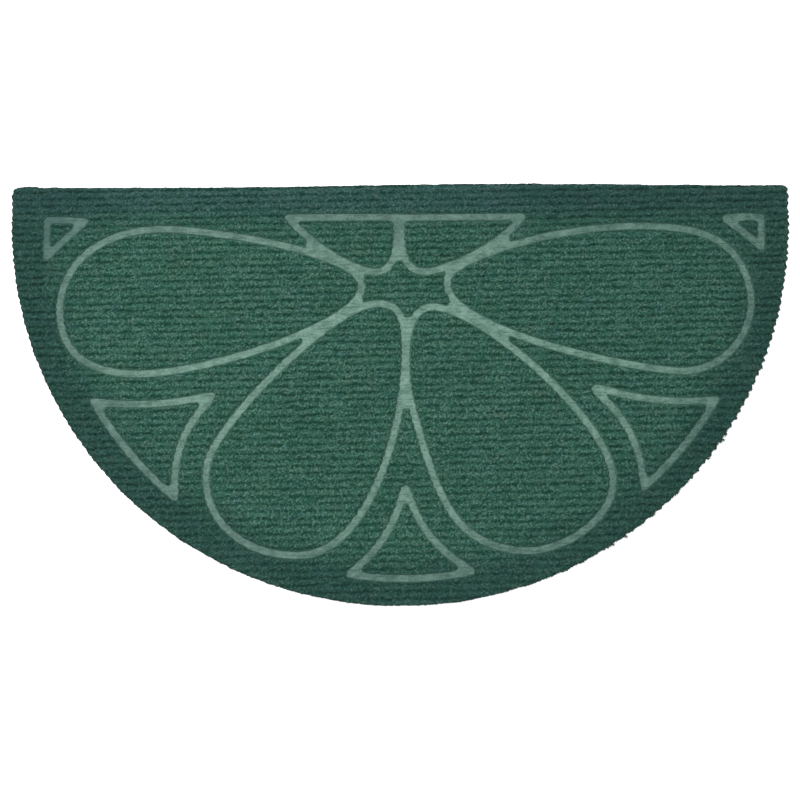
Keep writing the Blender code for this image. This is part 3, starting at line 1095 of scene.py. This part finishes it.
def lengthsOf(random, u, v, out, place, swollen, loose, tufts):
    # How long each lock is: the loose ones first, then those of each tuft
    count = len(u)
    onRagged = raggedAt(out)
    onStraight = ease(out[:, 1], *fringe["straightBand"])
    inCorner = 1 - ease(np.hypot(*(place - fringe["corner"]).T), *fringe["cornerBand"])
    clump = ease(softNoise(u, v, *fringe["clumps"]), *fringe["clumpBand"])
    length = random.uniform(*fringe["length"], count)
    length += fringe["ribLength"] * np.abs(out @ ribAxis) * ease(swollen, *fringe["ribBand"])
    length += fringe["raggedLength"] * onRagged * clump
    length *= 1 - (1 - fringe["straightShare"]) * onStraight * (1 - inCorner)
    length += fringe["cornerLength"] * inCorner * clump
    tuft = random.uniform(*fringe["tuftLength"], tufts)
    tuft[-len(fringe["strays"]):] = fringe["strayLength"]
    tuft = np.repeat(tuft, fringe["tuftLocks"]) * random.uniform(*fringe["tuftParts"], count - loose)
    length[loose:] = np.maximum(tuft * onRagged[loose:], fringe["tuftLeast"])
    return length


def buildFringe():
    random = np.random.default_rng(fringe["seed"])
    outline = counterclockwise(cutOutline)
    ends = np.concatenate((ribEndsOf(outline), nearestOn(outline, fringe["strays"])))
    loose = int(len(outline) * plan["spacing"] / fringe["spacing"])
    count = loose + len(ends) * fringe["tuftLocks"]
    inTuft = np.arange(count) >= loose
    shift = random.normal(0, fringe["tuftWidth"] / plan["spacing"] / 2, count - loose).round().astype(int)
    at = np.concatenate((random.integers(0, len(outline), loose),
                         np.repeat(ends, fringe["tuftLocks"]) + shift)) % len(outline)
    place, out = outline[at], outwardOf(outline)[at]
    u, v = alongRibs(place).T
    swollen = swellAt(u, v, out)
    length = lengthsOf(random, u, v, out, place, swollen, loose, len(ends))
    turn = np.radians(random.uniform(-1, 1, count) * fringe["turn"] * np.where(inTuft, fringe["tuftTurn"], 1))
    lean = (fringe["tuftLean"] * raggedAt(out) * inTuft)[:, None]
    facing = out * (1 - lean) + ribAxis * lean
    facing /= np.hypot(*facing.T)[:, None]
    heading = np.stack((facing[:, 0] * np.cos(turn) - facing[:, 1] * np.sin(turn),
                        facing[:, 0] * np.sin(turn) + facing[:, 1] * np.cos(turn)), 1)
    aside = np.stack((-heading[:, 1], heading[:, 0]), 1)
    bend = random.uniform(-1, 1, count) * fringe["bend"]
    root = place + out * (swollen - fringe["inset"])[:, None]
    rootHeight = random.uniform(*fringe["height"], count)
    fall = random.uniform(*fringe["fall"], count)
    radius = random.uniform(*fringe["radius"], count)
    shade = random.uniform(0, 1, count)
    sides = fringe["sides"]
    rings = []
    for stage, taper in zip(fringe["stages"], fringe["taper"]):
        middle = root + heading * (length * stage + fringe["inset"] * stage)[:, None]
        middle = middle + aside * (bend * length * stage**2)[:, None]
        height = rootHeight * (1 - fall * stage ** fringe["fallCurve"]) + fringe["lift"]
        for side in range(sides):
            angle = 2 * np.pi * side / sides + fringe["sidesTurn"]
            level = (radius * taper * math.cos(angle))[:, None] * aside
            rings.append(np.column_stack((middle + level, height + radius * taper * math.sin(angle))))
    points = np.stack(rings, axis=1).reshape(-1, 3)
    own = len(fringe["stages"]) * sides
    faces = []
    for stage in range(len(fringe["stages"]) - 1):
        for side in range(sides):
            a, b = stage * sides + side, stage * sides + (side + 1) % sides
            faces += [(a, b, b + sides), (a, b + sides, a + sides)]
    faces.append(tuple(own - sides + side for side in range(sides)))
    faces = (np.arange(count)[:, None, None] * own + np.array(faces)).reshape(-1, 3)
    return makeMesh("cutFringe", points, faces, {"shade": np.repeat(shade, own)}, fringeMaterial)


cutFringe = buildFringe()
print("fringe:", len(cutFringe.data.polygons))


# The back: a closed sheet under the pile, with the ribs showing through it a little
back = {
    "columnStep": 3.2,
    "rowsPerRib": 3,
    "relief": 0.45,
    "reliefPatches": ((0.7, 6, 4, 63),),
    "reliefBand": (-0.3, 1.4),
    "follow": 0.8,  # how closely its edge follows the cut edge of the pile
    "edgeRough": ((0.2, 2.5, 2.5, 62),),
    "inset": 0.2,
    "rings": ((0.2, 0.35), (0.0, 1.3), (-0.8, 3.0)),  # up its side: how far out, height
}


def buildBack():
    under = FeltGrid(back["columnStep"], back["rowsPerRib"], [cutOutline])
    faces, inside = trianglesOf(under)
    used, faces = np.unique(faces[inside > 0], return_inverse=True)
    faces = faces.reshape(-1, 3)
    count = len(used)
    u, v = under.u.ravel()[used], under.v.ravel()[used]
    x, y = backToPlan(u, v)
    edges = openEdges(faces)
    out = outwardAt(edges, x, y, count)
    rim = np.unique(edges)
    reach = np.zeros(count)
    reach[rim] = (back["follow"] * swellAt(u[rim], v[rim], out[rim])
                  + hills(u[rim], v[rim], back["edgeRough"]) - back["inset"])
    x, y = x + out[:, 0] * reach, y + out[:, 1] * reach
    height = 0.5 + 0.5 * np.cos(2 * np.pi * v / ribs["pitch"]) + hills(u, v, back["reliefPatches"])
    height = back["relief"] * ease(height, *back["reliefBand"]) * (1 - np.isin(np.arange(count), rim))
    points = [np.stack((x, y, height), 1)]
    allFaces = [faces[:, ::-1]]
    lower = np.arange(count)
    for step, (further, level) in enumerate(back["rings"]):
        points.append(np.stack((x[rim] + out[rim, 0] * further, y[rim] + out[rim, 1] * further,
                                np.full(len(rim), level)), 1))
        upper = np.zeros(count, dtype=int)
        upper[rim] = count + step * len(rim) + np.arange(len(rim))
        allFaces += sideFaces(edges, upper, lower)
        lower = upper
    following = dict(edges.tolist())
    top = [int(rim[0])]
    while following[top[-1]] != top[0]:
        top.append(following[top[-1]])
    mesh = bpy.data.meshes.new("matBack")
    mesh.from_pydata((np.concatenate(points) * mm).tolist(), [],
                     [*np.concatenate(allFaces).tolist(), lower[top].tolist()])
    return feltPiece("matBack", mesh, backMaterial)


matBack = buildBack()
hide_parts("mat")
print("back:", len(matBack.data.polygons))


# Floor, light and camera
studio = {
    "floorSize": 14.0,
    "floorHeight": -0.0002,
    "floorColour": (0.92, 0.92, 0.92),
    "floorGlow": 0.55,  # lit a little from below, like a light table
    "skyStrength": 0.5,
    # Each light: place, size and power
    "key": ((-0.55, 0.55, 2.05), 0.9, 36.0),
    "fill": ((-0.2, -0.9, 1.9), 1.2, 8.0),
}


def makeFloor():
    half = studio["floorSize"] / 2
    mesh = bpy.data.meshes.new("floor")
    corners = [(-half, -half), (half, -half), (half, half), (-half, half)]
    mesh.from_pydata([(x, y, studio["floorHeight"]) for x, y in corners], [], [(0, 1, 2, 3)])
    mesh.materials.append(Finish("paleFloor").surface({
        "Base Color": asColour(studio["floorColour"]), "Roughness": 0.9, "Specular IOR Level": 0.1,
        "Emission Color": asColour(1.0), "Emission Strength": studio["floorGlow"]}))
    made = linked("floor", mesh)


def makeLight(name):
    place, size, power = studio[name]
    light = bpy.data.lights.new(name, "AREA")
    light.shape = "DISK"
    light.size = size
    light.energy = power
    made = linked(name, light)
    made.location = place
    made.rotation_euler = (-made.location).to_track_quat("-Z", "Y").to_euler()


def makeSky():
    world = bpy.data.worlds.new("studioSky")
    world.use_nodes = True
    sockets = world.node_tree.nodes["Background"].inputs
    sockets["Color"].default_value = asColour(1.0)
    sockets["Strength"].default_value = studio["skyStrength"]
    bpy.context.scene.world = world


view = {
    "distance": 1.0,
    "tilt": 5.99,  # degrees from straight down, looking towards the straight edge
    "roll": -0.361,
    "lens": 47.53,
    "sensor": 36.0,
    "nearest": 0.05,
    "aim": (-0.00127, -0.00794, 0.007),
}


def makeCamera():
    camera = bpy.data.cameras.new("camera")
    camera.lens = view["lens"]
    camera.sensor_width = view["sensor"]
    camera.clip_start = view["nearest"]
    made = linked("camera", camera)
    tilt = math.radians(view["tilt"])
    x, y, z = view["aim"]
    place = (x, y - view["distance"] * math.sin(tilt), z + view["distance"] * math.cos(tilt))
    turn = Matrix.Rotation(tilt, 4, "X") @ Matrix.Rotation(math.radians(view["roll"]), 4, "Z")
    made.matrix_world = Matrix.Translation(place) @ turn
    bpy.context.scene.camera = made


makeFloor()
makeLight("key")
makeLight("fill")
makeSky()
makeCamera()
bpy.context.scene.view_settings.view_transform = "Standard"
print("studio: floor, light and camera")
